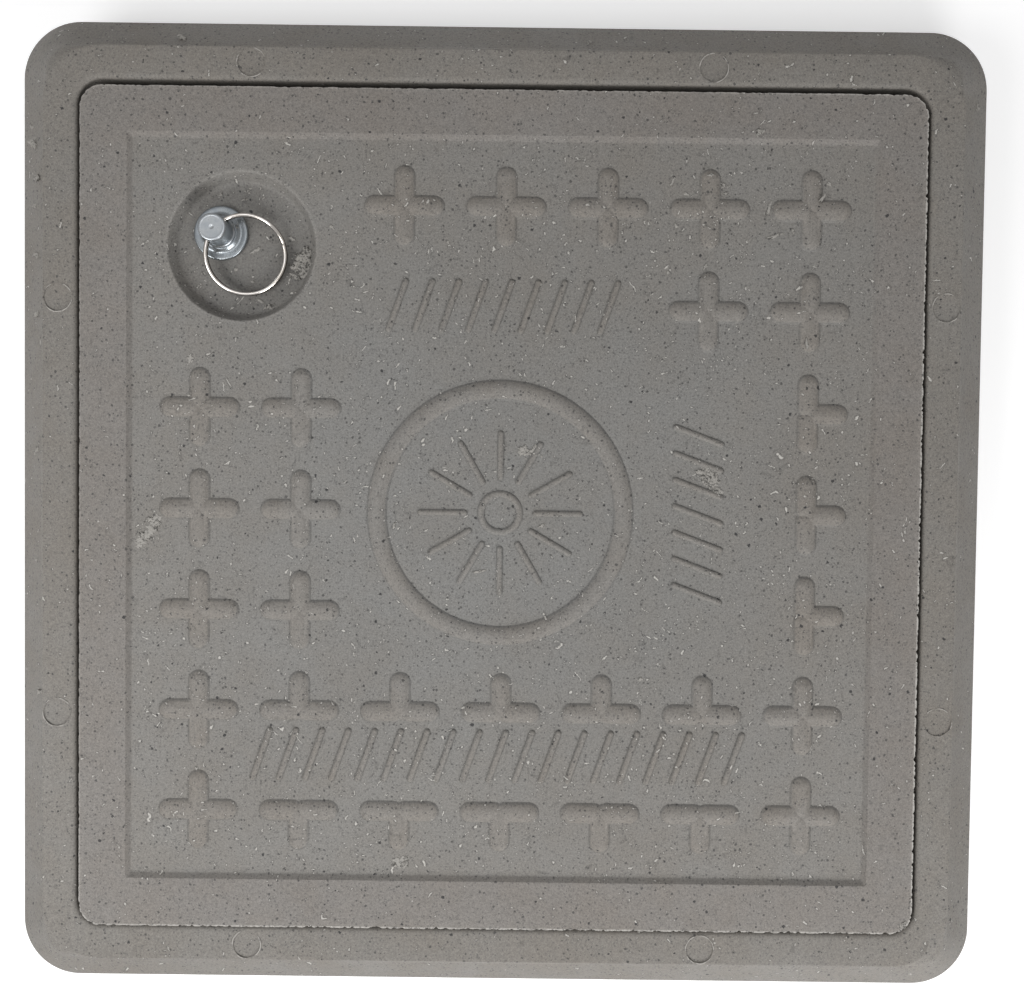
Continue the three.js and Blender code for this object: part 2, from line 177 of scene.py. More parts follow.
# A darker copy of the zinc for the sleeve in the dish: painted shade.
SHADED_ZINC = (0.38, 0.405, 0.42)
ZINC_CLOUD = (0.80, 0.82, 0.85)
ZINC_SCUFF = (0.30, 0.31, 0.32)
BRIGHT_NICKEL = (0.96, 0.91, 0.86)
WORN_NICKEL = (0.84, 0.78, 0.71)
# Painted shadow and painted dark reflection for the wire's sides.
NICKEL_SIDE_SHADE = (0.16, 0.14, 0.12)


# ---- mesh helpers ----

def rounded_square(half, corner, corner_steps, side_steps):
    """Points round a square with rounded corners, anticlockwise, as an array of x, y."""
    inset = half - corner
    points = []
    for quarter in range(4):
        middle = (quarter + 0.5) * math.pi / 2
        cx = math.copysign(inset, math.cos(middle))
        cy = math.copysign(inset, math.sin(middle))
        for i in range(corner_steps + 1):
            turn = (quarter + i / corner_steps) * math.pi / 2
            points.append((cx + corner * math.cos(turn), cy + corner * math.sin(turn)))
        forward = (quarter + 1) * math.pi / 2 + math.pi / 2
        start = points[-1]
        for i in range(1, side_steps):
            step = 2 * inset * i / side_steps
            points.append((start[0] + step * math.cos(forward), start[1] + step * math.sin(forward)))
    return np.array(points)


def at_height(outline, z):
    """The outline as points in space. z is one height, or one for each point."""
    return np.column_stack([outline, np.broadcast_to(z, len(outline))])


def bent(before, corner, after, radius, steps):
    """Rows of points that round the corner between two stretches."""
    to_before = before - corner
    to_after = after - corner
    long_before = np.linalg.norm(to_before, axis=-1, keepdims=True)
    long_after = np.linalg.norm(to_after, axis=-1, keepdims=True)
    start = corner + to_before * np.minimum(0.45, radius / long_before)
    end = corner + to_after * np.minimum(0.45, radius / long_after)
    rows = []
    for i in range(steps + 1):
        t = i / steps
        rows.append((1 - t) ** 2 * start + 2 * t * (1 - t) * corner + t ** 2 * end)
    return rows


def softened(rows, radii, steps=3, closed=False):
    """The rows, with each one that has a radius replaced by rows that round it off."""
    result = []
    for i, (row, radius) in enumerate(zip(rows, radii)):
        inner = closed or 0 < i < len(rows) - 1
        if radius and inner:
            result += bent(rows[i - 1], row, rows[(i + 1) % len(rows)], radius, steps)
        else:
            result.append(row)
    return result


def add_object(name, points, faces):
    mesh = bpy.data.meshes.new(name)
    mesh.from_pydata([tuple(p) for p in points], [], faces)
    mesh.validate()
    mesh.update()
    result = bpy.data.objects.new(name, mesh)
    bpy.context.scene.collection.objects.link(result)
    return result


def skin_faces(count, levels, closed, first=0):
    """Faces between rows of points, with end faces unless the rows close on themselves."""
    faces = []
    for level in range(levels if closed else levels - 1):
        low = first + level * count
        high = first + ((level + 1) % levels) * count
        for i in range(count):
            j = (i + 1) % count
            faces.append((low + i, low + j, high + j, high + i))
    if not closed:
        faces.append(tuple(first + i for i in reversed(range(count))))
        faces.append(tuple(first + (levels - 1) * count + i for i in range(count)))
    return faces


def skin(name, rows, closed=False):
    return add_object(name, np.concatenate(rows), skin_faces(len(rows[0]), len(rows), closed))


def many_skins(name, stacks):
    """One object that holds a separate closed body for each stack of rows."""
    points = []
    faces = []
    for rows in stacks:
        faces += skin_faces(len(rows[0]), len(rows), False, len(points))
        points += [tuple(p) for row in rows for p in row]
    return add_object(name, points, faces)


def turned(name, profile, segments, centre=(0, 0, 0)):
    """A body turned round a vertical axis. The profile holds radius, height pairs from the
    bottom of the axis, round the outside, to its top, or a closed ring that misses the axis."""
    on_axis = profile[0][0] == 0
    ring = profile[1:-1] if on_axis else profile
    points = []
    for radius, z in ring:
        for i in range(segments):
            turn = i / segments * 2 * math.pi
            points.append((centre[0] + radius * math.cos(turn), centre[1] + radius * math.sin(turn), z))
    faces = skin_faces(segments, len(ring), not on_axis)
    if on_axis:
        faces = faces[:-2]
        points.append((centre[0], centre[1], profile[0][1]))
        points.append((centre[0], centre[1], profile[-1][1]))
        bottom, top = len(points) - 2, len(points) - 1
        last = (len(ring) - 1) * segments
        for i in range(segments):
            j = (i + 1) % segments
            faces.append((bottom, j, i))
            faces.append((top, last + i, last + j))
    return add_object(name, points, faces)


def soft_profile(points, closed=False, steps=4):
    """A turned profile from radius, height, rounding triples, in millimetres."""
    rows = [np.array([[r * MM, z * MM]]) for r, z, _ in points]
    radii = [rounding * MM for _, _, rounding in points]
    return [tuple(row[0]) for row in softened(rows, radii, steps, closed)]


def combine(target, tools, operation):
    """Joins the tools to the target, or cuts them from it, one after another."""
    for tool in tools:
        step = target.modifiers.new("combine", "BOOLEAN")
        step.operation = operation
        step.solver = "MANIFOLD"
        step.object = tool
    graph = bpy.context.evaluated_depsgraph_get()
    mesh = bpy.data.meshes.new_from_object(target.evaluated_get(graph))
    target.modifiers.clear()
    target.data = mesh
    for tool in tools:
        bpy.data.objects.remove(tool, do_unlink=True)


def smooth(piece, degrees):
    """Smooth shading, with edges sharper than the angle left crisp."""
    mesh = piece.data
    mesh.shade_smooth()
    mesh.set_sharp_from_angle(angle=math.radians(degrees))


def stadium(start, end, half_width, steps):
    """The outline of a bar with round ends."""
    heading = math.atan2(end[1] - start[1], end[0] - start[0])
    points = []
    for centre, first in ((end, heading - math.pi / 2), (start, heading + math.pi / 2)):
        for i in range(steps + 1):
            turn = first + i / steps * math.pi
            points.append((centre[0] + half_width * math.cos(turn),
                           centre[1] + half_width * math.sin(turn)))
    return np.array(points)


def crown(width, height, steps):
    """Half widths and heights of a round-topped rib, from where it stands to near its top."""
    radius = (width ** 2 / 4 + height ** 2) / (2 * height)
    full = math.asin(min(1, width / 2 / radius))
    if radius < height:
        full = math.pi - full
    result = []
    for i in range(steps + 1):
        turn = full + (0.09 - full) * i / steps
        result.append((radius * math.sin(turn), radius * math.cos(turn) - radius + height))
    return result


def raised_bar(start, end, width, height, round_steps=9, crown_steps=7):
    """Rows of a rib with a rounded top that stands on the panel."""
    inset = width / 2
    along = (Vector(end) - Vector(start)).normalized() * inset
    a = Vector(start) + along
    b = Vector(end) - along
    profile = crown(width, height, crown_steps)
    rows = [at_height(stadium(a, b, profile[0][0], round_steps), RAISED_ROOT)]
    for half, z in profile:
        rows.append(at_height(stadium(a, b, half, round_steps), PANEL + z))
    return rows


# ---- frame ----

def ejector_mark(x, y):
    """The faint round mark that an ejector pin leaves: a cutter for its shallow floor, and the
    thin uneven ridge round it."""
    top = TOP / MM
    inner, middle, outer = 4.9, 5.0, 5.4
    depth, root, rise = 0.35, 0.7, 0.12
    floor = soft_profile([
        (0, top - depth, 0), (inner, top - depth, 0.1), (middle, top + 0.3, 0), (0, top + 1, 0),
    ])
    ridge = soft_profile([
        (inner, top - root, 0), (outer - 0.05, top - root, 0), (outer, top, 0),
        (outer - 0.2, top + rise, 0.1), (middle, top + rise, 0.1), (inner, top - depth, 0),
    ], closed=True)
    parts = turned("floor_mark", floor, 48, (x, y)), turned("ridge", ridge, 72, (x, y))
    for part in parts:
        for vertex in part.data.vertices:
            away = noise.noise_vector(vertex.co * 700) * 0.12 * MM
            lift = noise.noise(vertex.co * 330 + Vector((5, 0, 0))) * 0.5 * MM
            above = vertex.co.z > TOP - 0.05 * MM
            vertex.co += Vector((away.x, away.y, lift if above and part is parts[1] else 0))
    return parts


def frame_pockets():
    """Cutters for the hollows between the webs in the frame's underside."""
    inner, outer, roof = 161 * MM, 171.4 * MM, 28 * MM
    per_side, span, web = 5, 290 * MM, 8 * MM
    cell = span / per_side
    half_length = (cell - web) / 2
    half_width = (outer - inner) / 2
    across = (outer + inner) / 2
    stacks = []
    for i in range(per_side):
        along = (i - (per_side - 1) / 2) * cell
        for side in (-1, 1):
            for upright in (False, True):
                centre = (side * across, along) if upright else (along, side * across)
                reach = (half_width, half_length) if upright else (half_length, half_width)
                rows = []
                for z, shrink in ((-2 * MM, 0), (roof - 1.5 * MM, 0), (roof, 1.2 * MM)):
                    square = rounded_square(1, 0.12, 3, 1)
                    size = np.array(reach) - shrink
                    rows.append(at_height(square * size + np.array(centre), z))
                stacks.append(rows)
    return many_skins("pockets", stacks)


def frame_moulding():
    def outline(half, corner):
        return rounded_square(half, corner, 20, 24)

    crease = outline(RIM_HALF - CREASE_WIDTH, RIM_CORNER)
    bevel_head = outline(RIM_HALF, BEVEL_CORNER)
    fall = CREASE_FALL + CORNER_SLOPE * (np.linalg.norm(bevel_head - crease, axis=1) - CREASE_WIDTH)
    rows = [
        at_height(outline(FRAME_HALF - WALL_LEAN, FRAME_CORNER - WALL_LEAN), 0),
        at_height(outline(FRAME_HALF, FRAME_CORNER), TOP - BEVEL_DROP),
        at_height(bevel_head, TOP - fall),
        at_height(crease, TOP),
        at_height(outline(MOUTH_HALF, MOUTH_CORNER), TOP),
        at_height(outline(MOUTH_HALF - MOUTH_LEAN, MOUTH_CORNER - MOUTH_LEAN), SEAT),
        at_height(outline(THROAT_HALF, THROAT_CORNER), SEAT),
        at_height(outline(THROAT_HALF, THROAT_CORNER), 0),
    ]
    radii = [r * MM for r in (0.8, 0.8, 1.4, 0.7, 1.9, 0.8, 0.8, 0.6)]
    body = skin("frame_moulding", softened(rows, radii, 4, closed=True), closed=True)
    floors, ridges = [], []
    for side in (-1, 1):
        for x, y in ((-91, side * 160.1), (75, side * 160.1), (side * 160.4, -75.3), (side * 160.4, 75.3)):
            floor, ridge = ejector_mark(x * MM, y * MM)
            floors.append(floor)
            ridges.append(ridge)
    combine(body, [frame_pockets()] + floors, "DIFFERENCE")
    combine(body, ridges, "UNION")
    grit = scrap_look("frame_grit", FRAME_GRIT_CRACK_SHADE, GRIT_TONE, 0.44)
    stick(body, [grit_on_frame()], [grit])
    return body


# ---- cover ----

def cover_body():
    """The plate's outside, with the thin ragged lip that the mould leaves round its top edge."""
    def outline(inset):
        return rounded_square(COVER_HALF - inset, COVER_CORNER - inset, 30, 640)

    def uneven(size, amount, shift):
        values = [noise.noise(Vector((x + shift, y, 0)) / size) for x, y in edge]
        return np.array(values) * amount

    edge = outline(0)
    outward = edge - outline(1 * MM)
    outward /= np.linalg.norm(outward, axis=1, keepdims=True)
    ragged = uneven(6 * MM, 0.25 * MM, 0) + uneven(1.7 * MM, 0.7 * MM, 1) + uneven(0.8 * MM, 0.5 * MM, 4)
    worn = np.clip(0.75 + (edge[:, 0] - edge[:, 1]) / COVER_HALF, 0.5, 1)
    ragged = worn[:, None] * np.clip(ragged + 0.1 * MM, -0.6 * MM, 0.2 * MM)[:, None]
    lip = np.clip(0.1 * MM + uneven(2.2 * MM, 0.25 * MM, 2) + uneven(9 * MM, 0.2 * MM, 3), 0, None) * worn
    rows = [
        at_height(outline(0.8 * MM), COVER_BOTTOM),
        at_height(outline(0.1 * MM), TOP - 1.1 * MM),
        at_height(edge + outward * ragged, TOP - 0.3 * MM),
        at_height(edge + outward * (ragged - 0.08 * MM), TOP + lip),
        at_height(edge + outward * (0.7 * ragged - 0.26 * MM), TOP + 0.8 * lip),
        at_height(edge + outward * (0.8 * ragged - 0.6 * MM), TOP + 0.004 * MM),
        at_height(edge - outward * 1.6 * MM, TOP),
    ]
    return skin("cover_moulding", rows)


def panel_recess():
    def outline(half):
        return rounded_square(half, PANEL_CORNER, 3, 1) + PANEL_SHIFT

    rows = [
        at_height(outline(PANEL_HALF - 4 * MM), PANEL),
        at_height(outline(PANEL_HALF - 1.6 * MM), PANEL),
        at_height(outline(PANEL_HALF), TOP),
        at_height(outline(PANEL_HALF + 1 * MM), TOP + 0.05 * MM),
        at_height(outline(PANEL_HALF + 1 * MM), TOP + 2 * MM),
    ]
    return skin("recess", softened(rows, [0, 0.5 * MM, 0.15 * MM, 0, 0], 3))


def tread_arms():
    """The arms of the seven by seven grid of crosses, sorted by the way that they point. Each arm
    is a rounded pod that starts just past the middle of its cross."""
    pods = {"right": [], "up": [], "left": [], "down": []}
    headings = {"right": (1, 0, 0), "up": (0, 1, 0), "left": (-1, 0, 0), "down": (0, -1, 0)}

    def cross(column, row, missing=()):
        centre = Vector((column - TREAD_MIDDLE, TREAD_MIDDLE - row, 0)) * TREAD_PITCH + TREAD_SHIFT
        for name, heading in headings.items():
            if name not in missing:
                start = centre - Vector(heading) * ARM_ROOT
                end = centre + Vector(heading) * ARM_REACH
                pods[name].append(raised_bar(start, end, ARM_WIDTH, ARM_HEIGHT))

    for column in range(3, 8):
        cross(column, 1)
    for column in (6, 7):
        cross(column, 2)
    for row in (3, 4, 5):
        cross(1, row)
        cross(2, row)
        cross(7, row, ["left"])
    for row, missing in ((6, ["down"]), (7, ["up"])):
        cross(1, row)
        cross(7, row)
        for column in range(2, 7):
            cross(column, row, missing)
    return pods


def hatched_band(x, y, length, height, upright=False):
    """Rows of the plain slanted bars of one band."""
    count = int((length - BAR_LEAN) / BAR_PITCH) + 1
    bars = []
    for i in range(count):
        along = (i - (count - 1) / 2) * BAR_PITCH
        low, high = along - BAR_LEAN / 2, along + BAR_LEAN / 2
        reach = height / 2
        ends = ((reach, low), (-reach, high)) if upright else ((low, -reach), (high, reach))
        a, b = (Vector((x + ex, y + ey, 0)) for ex, ey in ends)
        bars.append(raised_bar(a, b, BAR_WIDTH, BAR_HEIGHT, 5, 4))
    return bars


def rays():
    result = []
    for i in range(RAYS):
        turn = i / RAYS * 2 * math.pi
        heading = Vector((math.cos(turn), math.sin(turn), 0))
        result.append(raised_bar(heading * RAY_START, heading * RAY_END, BAR_WIDTH, BAR_HEIGHT, 5, 4))
    return result


def raised_circle(name, mean, width, height, segments):
    side = crown(width, height, 6)
    profile = [(mean - side[0][0], RAISED_ROOT), (mean + side[0][0], RAISED_ROOT)]
    profile += [(mean + half, PANEL + z) for half, z in side]
    profile += [(mean - half, PANEL + z) for half, z in reversed(side)]
    return turned(name, profile, segments)


def finger_dish():
    floor, panel, rim = DISH_FLOOR / MM, PANEL / MM, DISH_RIM / MM
    profile = soft_profile([
        (0, floor, 0), (DISH_FLOOR_RADIUS / MM, floor, 1.5), (rim, panel, 0.6),
        (rim + 3.5, panel + 0.02, 0), (rim + 3.5, panel + 4, 0), (0, panel + 4, 0),
    ], steps=6)
    return turned("dish", profile, 128, DISH)


def rib_hollows():
    """Cutters for the square cells under the plate, less the boss under the dish."""
    cells, rib, half_field = 7, 6 * MM, 140 * MM
    pitch = (2 * half_field + rib) / cells
    half = (pitch - rib) / 2
    stacks = []
    for i in range(cells):
        for j in range(cells):
            centre = np.array([(i - (cells - 1) / 2) * pitch, (j - (cells - 1) / 2) * pitch])
            rows = []
            for z, shrink in ((COVER_BOTTOM - 2 * MM, 0), (SKIN_UNDERSIDE - 2 * MM, 0.2 * MM),
                              (SKIN_UNDERSIDE - 0.6 * MM, 0.7 * MM), (SKIN_UNDERSIDE, 2 * MM)):
                square = rounded_square(half - shrink, 3 * MM, 4, 1)
                rows.append(at_height(square + centre, z))
            stacks.append(rows)
    hollows = many_skins("hollows", stacks)
    low, top, radius = BOSS_UNDERSIDE / MM, SKIN_UNDERSIDE / MM, BOSS_RADIUS / MM
    boss = soft_profile([
        (0, low, 0), (radius - 0.5, low, 0.8), (radius, top, 0), (radius, top + 14, 0), (0, top + 14, 0),
    ])
    combine(hollows, [turned("boss", boss, 96, DISH)], "DIFFERENCE")
    return hollows


def scab(x, y, z, size, stretch=1.0, heading=0.0, thick=0.35, steps=28):
    """A ragged scrap of hardened resin or sand that sticks to the moulding's surface. Its level z
    is in metres and its other lengths in millimetres, as in crumbs."""
    seed = random.random() * 50
    rows = []
    for level, shrink in ((-0.5, 0), (0, 0), (0.65 * thick, 0.04), (thick, 0.3)):
        points = []
        for i in range(steps):
            turn = i / steps * 2 * math.pi
            around = Vector((math.cos(turn), math.sin(turn), seed))
            reach = 1 + 0.6 * noise.noise(around * 1.3) + 0.7 * noise.noise(around * 3.7)
            reach = max(0.3, reach) * size * MM * (1 - shrink)
            points.append((reach * stretch * math.cos(turn), reach * math.sin(turn), level * MM))
        rows.append(np.array(points))
    body = skin("scab", rows)
    for vertex in body.data.vertices:
        if vertex.co.z > 0.1 * MM:
            vertex.co.z += 0.45 * thick * MM * noise.noise(vertex.co * 1100 + Vector((0, 0, seed)))
    turn = Matrix.Rotation(math.radians(heading), 4, "Z")
    body.data.transform(Matrix.Translation((x * MM, y * MM, z)) @ turn)
    return body


def crumbs(x, y, z, reach, count, size, squash=0.7, heading=0.0):
    """A patch of rough grains, longer along its heading than across it."""
    grains = []
    along = Vector((math.cos(math.radians(heading)), math.sin(math.radians(heading))))
    across = Vector((-along.y, along.x))
    for _ in range(count):
        turn = random.uniform(0, 2 * math.pi)
        away = reach * math.sqrt(random.random())
        place = Vector((x, y)) + along * away * math.cos(turn) + across * squash * away * math.sin(turn)
        grain = size * random.uniform(0.5, 1.5)
        stretch, twist = random.uniform(1, 1.8), random.uniform(0, 180)
        grains.append(scab(*place, z, grain, stretch, twist, 0.55 * grain, 14))
    return grains


def grit_on_frame():
    """Chips and crumbs along the bevels."""
    result = []
    for x, y, count in (
        (-173.5, 138, 3), (-171.5, 132, 3), (-168.6, -69, 4), (-170, 118, 2), (-172.4, 109, 2), (-171, 92, 2),
        (-170.6, 70, 2), (-118, 170.2, 2), (-169.5, 20, 2), (-170.4, -20, 1), (174, 150, 3), (30, 170, 2),
    ):
        for _ in range(count):
            cx = x + random.uniform(-0.9, 0.9)
            cy = y + random.uniform(-1.3, 1.3)
            down = max(0, max(abs(cx), abs(cy)) - RIM_HALF / MM)
            level = TOP - CREASE_FALL - 0.15 * MM - down * BEVEL_DROP / BEVEL_RUN * MM
            result += crumbs(cx, cy, level, 0, 1, 0.7)
    return result


def stick(body, groups, looks):
    """Joins groups of scraps to the body, each with its own look after the body's."""
    for slot, (scraps, look) in enumerate(zip(groups, looks), 1):
        patch = scraps[0]
        combine(patch, scraps[1:], "UNION")
        for piece in body, patch:
            while len(piece.data.materials) <= len(looks):
                piece.data.materials.append(looks[max(0, len(piece.data.materials) - 1)])
        patch.data.polygons.foreach_set("material_index", [slot] * len(patch.data.polygons))
        combine(body, [patch], "UNION")


def grit_on_cover():
    """Crumbs of sand and resin left on the panel, in the dish and on the cover's edge."""
    result = crumbs(-127.5, -7.5, PANEL, 5.8, 15, 0.6, 0.6, 60)
    result += crumbs(77, 13, PANEL, 6, 22, 0.7, 0.6, -60)
    result += crumbs(-35.2, -129, PANEL, 2.9, 8, 0.6, 0.6, 20)
    result += crumbs(149.2, -149.4, TOP - 0.1 * MM, 1.3, 5, 0.6)
    result += crumbs(-73.4, 90.6, DISH_FLOOR + 0.2 * MM, 5.6, 52, 0.95, 0.5, 62)
    result += crumbs(-86, 74.6, DISH_FLOOR, 4, 9, 0.5, 0.4)
    result += crumbs(-90, 115, DISH_FLOOR, 8, 9, 0.35, 0.4)
    result += crumbs(-112, 84, DISH_FLOOR, 5, 6, 0.4)
    result += crumbs(92, 137.9, TOP - 0.1 * MM, 1.7, 5, 0.6)
    result += crumbs(79, 118, PANEL, 3, 7, 0.5)
    return result


def flakes_on_cover():
    """Pale shavings and plates of resin that lie on the panel and in its dish."""
    on_panel = (
        (96, 111.7, 69, 5.0), (98.8, 101.9, 20, 6.0), (61, 120.6, 70, 3.6), (62.5, 105, 120, 2.8),
        (73.4, 90.5, 60, 2.6), (66.2, 116.4, 145, 2.4), (104.8, 103.5, 100, 2.0), (117.7, 120.6, 130, 1.8),
        (109.4, 131.6, 75, 1.6), (-62, 103, 140, 2.0), (-20, 98, 80, 1.2), (60, 88, 25, 1.5),
        (52, -60, 110, 1.4), (-70, -40, 60, 1.3), (30, -112, 15, 1.8), (-110, -95, 80, 1.4),
        (-7.4, -21.3, 10, 4.0), (15.3, -4.2, 30, 2.6), (-38.4, -4.6, 70, 2.4),
    )
    on_arms = (114.8, 115.1, 50, 3.4), (110.2, 62.8, 95, 3.0), (74.6, 123, 10, 2.2)
    in_dish = (
        (-90.7, 95.2, 35, 3.4), (-98.2, 88, 80, 1.8), (-91.9, 83.6, 20, 1.4), (-88.8, 76.5, 150, 3.2),
        (-103.7, 115.4, 60, 1.8), (-77.7, 99.8, 140, 2.6),
    )
    half_width, thick = 0.5, 0.3
    result = []
    for scraps, level in ((on_panel, PANEL), (on_arms, PANEL + ARM_HEIGHT), (in_dish, DISH_FLOOR)):
        for x, y, heading, length in scraps:
            result.append(scab(x, y, level, half_width, length / 2 / half_width, heading, thick, 36))
    plates = (
        (-129.5, -10.5, 1.9, 35), (-127.2, -7.2, 1.7, 70), (-125.2, -4.2, 1.5, 20), (-131.5, -13, 0.9, 0),
        (75.5, 16.5, 1.9, -50), (77.5, 12.5, 1.5, -70), (79, 9.5, 1.3, -40), (-35.6, -129, 1.7, 20),
        (-33.6, -127.4, 0.7, 60), (-113, 55, 1.0, 90),
    )
    for x, y, size, heading in plates:
        result.append(scab(x, y, PANEL, size, 1.35, heading, 0.22, 64))
    result += crumbs(11, 22, PANEL, 4.4, 36, 0.5, 0.6)
    return result


def cover_moulding():
    body = cover_body()
    combine(body, [panel_recess()], "DIFFERENCE")
    bars = hatched_band(0.3 * MM, 75 * MM, 88 * MM, 20 * MM)
    bars += hatched_band(71.9 * MM, 0.2 * MM, 69 * MM, 19 * MM, upright=True)
    bars += hatched_band(0, -89.2 * MM, 183 * MM, 20 * MM)
    raised = [many_skins(name + "_arms", rows) for name, rows in tread_arms().items()]
    raised += [
        many_skins("bars", bars + rays()),
        raised_circle("roundel", ROUNDEL_MEAN, ROUNDEL_WIDTH, ARM_HEIGHT, 160),
        raised_circle("hub", HUB_MEAN, HUB_WIDTH, BAR_HEIGHT, 48),
    ]
    combine(body, raised, "UNION")
    pin = PIN_AXIS - COVER_CENTRE
    hole, nut_space = (
        turned(name, [(0, 0), (radius, 0), (radius, top), (0, top)], 64, pin)
        for name, radius, top in (("hole", SLEEVE_HOLE, TOP), ("nut_space", 15 * MM, BOSS_UNDERSIDE))
    )
    combine(body, [finger_dish(), rib_hollows(), hole, nut_space], "DIFFERENCE")
    grit = scrap_look("grit", COVER_GRIT_CRACK_SHADE, GRIT_TONE, 0.48)
    flake = scrap_look("pale_flake", FLAKE_CRACK_SHADE, FLAKE_TONE, 0.42)
    stick(body, (grit_on_cover(), flakes_on_cover()), (grit, flake))
    body.location = COVER_CENTRE
    return body


# ---- pin, sleeve, washers, nut and ring ----

def on_pin_axis(piece):
    piece.location = (PIN_AXIS.x, PIN_AXIS.y, 0)
    return piece


def pin_sleeve():
    seat = DISH_FLOOR / MM + 0.1
    face = FLANGE_TOP / MM
    top = SLEEVE_HIGH[2] / MM
    low = SLEEVE_LOW[2] / MM
    bore, body, flange = PIN_CLEARANCE / MM, 7.0, 9.9
    profile = soft_profile([
        (bore, low, 0.3), (body, low, 0.6), (body, seat, 0.3), (flange, seat, 0.3), (flange, face, 1.0),
        (8.6, face - 0.02, 0.3), (7.2, face - 0.12, 0.6), (5.95, top, 0.12), (bore, top, 0.12),
    ], closed=True)
    return on_pin_axis(turned("flanged_sleeve", profile, 96))


def washer(name, node, hole):
    low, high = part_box(node)
    inner, outer = hole / MM, (high[0] - low[0]) / 2 / MM
    profile = soft_profile([
        (inner, low[2] / MM, 0.15), (outer, low[2] / MM, 0.35),
        (outer, high[2] / MM, 0.35), (inner, high[2] / MM, 0.15),
    ], closed=True)
    return on_pin_axis(turned(name, profile, 72))


def hex_nut():
    low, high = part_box("sleeve_nut")
    bottom, top = low[2] / MM, high[2] / MM
    corner = 10.5 * MM / math.cos(math.pi / 6)
    turns = [math.radians(12 + 60 * i) for i in range(6)]
    hexagon = np.array([(corner * math.cos(t), corner * math.sin(t)) for t in turns])
    nut = skin("hex_nut", [at_height(hexagon, low[2]), at_height(hexagon, high[2])])
    profile = soft_profile([
        (0, bottom, 0), (10.4, bottom, 0.2), (12.4, bottom + 1.1, 0),
        (12.4, top - 1.1, 0), (10.4, top, 0.2), (0, top, 0),
    ])
    combine(nut, [turned("rounding", profile, 96)], "INTERSECT")
    bore = soft_profile([
        (0, bottom - 1, 0), (8.1, bottom - 1, 0), (8.1, bottom, 0), (7.1, bottom + 0.9, 0),
        (7.1, top - 0.9, 0), (8.1, top, 0), (8.1, top + 1, 0), (0, top + 1, 0),
    ])
    combine(nut, [turned("bore", bore, 64)], "DIFFERENCE")
    return on_pin_axis(nut)


def lifting_pin():
    bottom, top = PIN_LOW[2] / MM, PIN_HIGH[2] / MM
    head_top = top - 40
    shoulder = SLEEVE_HIGH[2] / MM + 0.1
    shaft, head, collar = 5, 9, 5.7
    profile = soft_profile([
        (0, bottom, 0), (head, bottom, 0.7), (head, head_top, 0.3), (shaft, head_top, 0.2),
        (shaft, shoulder, 0.1), (collar, shoulder, 0.15), (collar, shoulder + 0.55, 0.2),
        (shaft, shoulder + 1.2, 0.7), (shaft, top - 0.55, 0.12), (4.7, top - 0.06, 0.2), (4.1, top, 0.1),
        (3.9, top - 0.05, 0.1), (0.9, top - 0.04, 0.1), (0.35, top - 0.14, 0.15), (0, top - 0.16, 0),
    ], steps=6)
    pin = turned("turned_pin", profile, 96)
    radius, reach = 2.5 * MM, 12 * MM
    hole = turned("cross_hole", [(0, -reach), (radius, -reach), (radius, reach), (0, reach)], 32)
    hole.data.transform(RING_HINGE.to_track_quat("Z", "Y").to_matrix().to_4x4())
    hole.data.transform(Matrix.Translation((0, 0, RING_PIVOT.z)))
    combine(pin, [hole], "DIFFERENCE")
    return on_pin_axis(pin)


def split_ring():
    """Two flat coils of wire with a short crossover, lying from the pin to the dish floor."""
    first, crossover = 0.34, 0.3
    steps, sides = 300, 12
    thin_end = 0.8
    ends_turn = math.radians(77)
    clear_of_floor = 0.3 * MM
    last = 4 * math.pi - first
    rise = WIRE + COIL_GAP / 2
    rows = []
    for i in range(steps + 1):
        turn = first + (last - first) * i / steps
        along = max(-1.0, min(1.0, (turn - 2 * math.pi) / crossover))
        height = along * (3 - along * along) / 2 * rise
        outward = np.array([math.cos(turn), math.sin(turn), 0])
        centre = outward * RING_MEAN + np.array([0, 0, height])
        radius = WIRE * (thin_end if i in (0, steps) else 1)
        turns = [-2 * math.pi * k / sides for k in range(sides)]
        rows.append(np.array([
            centre + radius * (outward * math.cos(t) + np.array([0, 0, math.sin(t)])) for t in turns
        ]))
    ring = skin("wire_ring", rows)
    drop = RING_PIVOT.z - DISH_FLOOR - clear_of_floor - 2 * WIRE - COIL_GAP / 2
    tilt = math.asin(drop / (RING_REACH + RING_MEAN))
    heading = math.atan2(RING_HINGE.x, -RING_HINGE.y)
    place = Matrix.Translation(RING_PIVOT)
    place @= Matrix.Rotation(heading, 4, "Z") @ Matrix.Rotation(tilt, 4, "Y")
    place @= Matrix.Translation((RING_REACH, 0, 0)) @ Matrix.Rotation(ends_turn, 4, "Z")
    ring.matrix_world = place
    return ring


# ---- materials ----

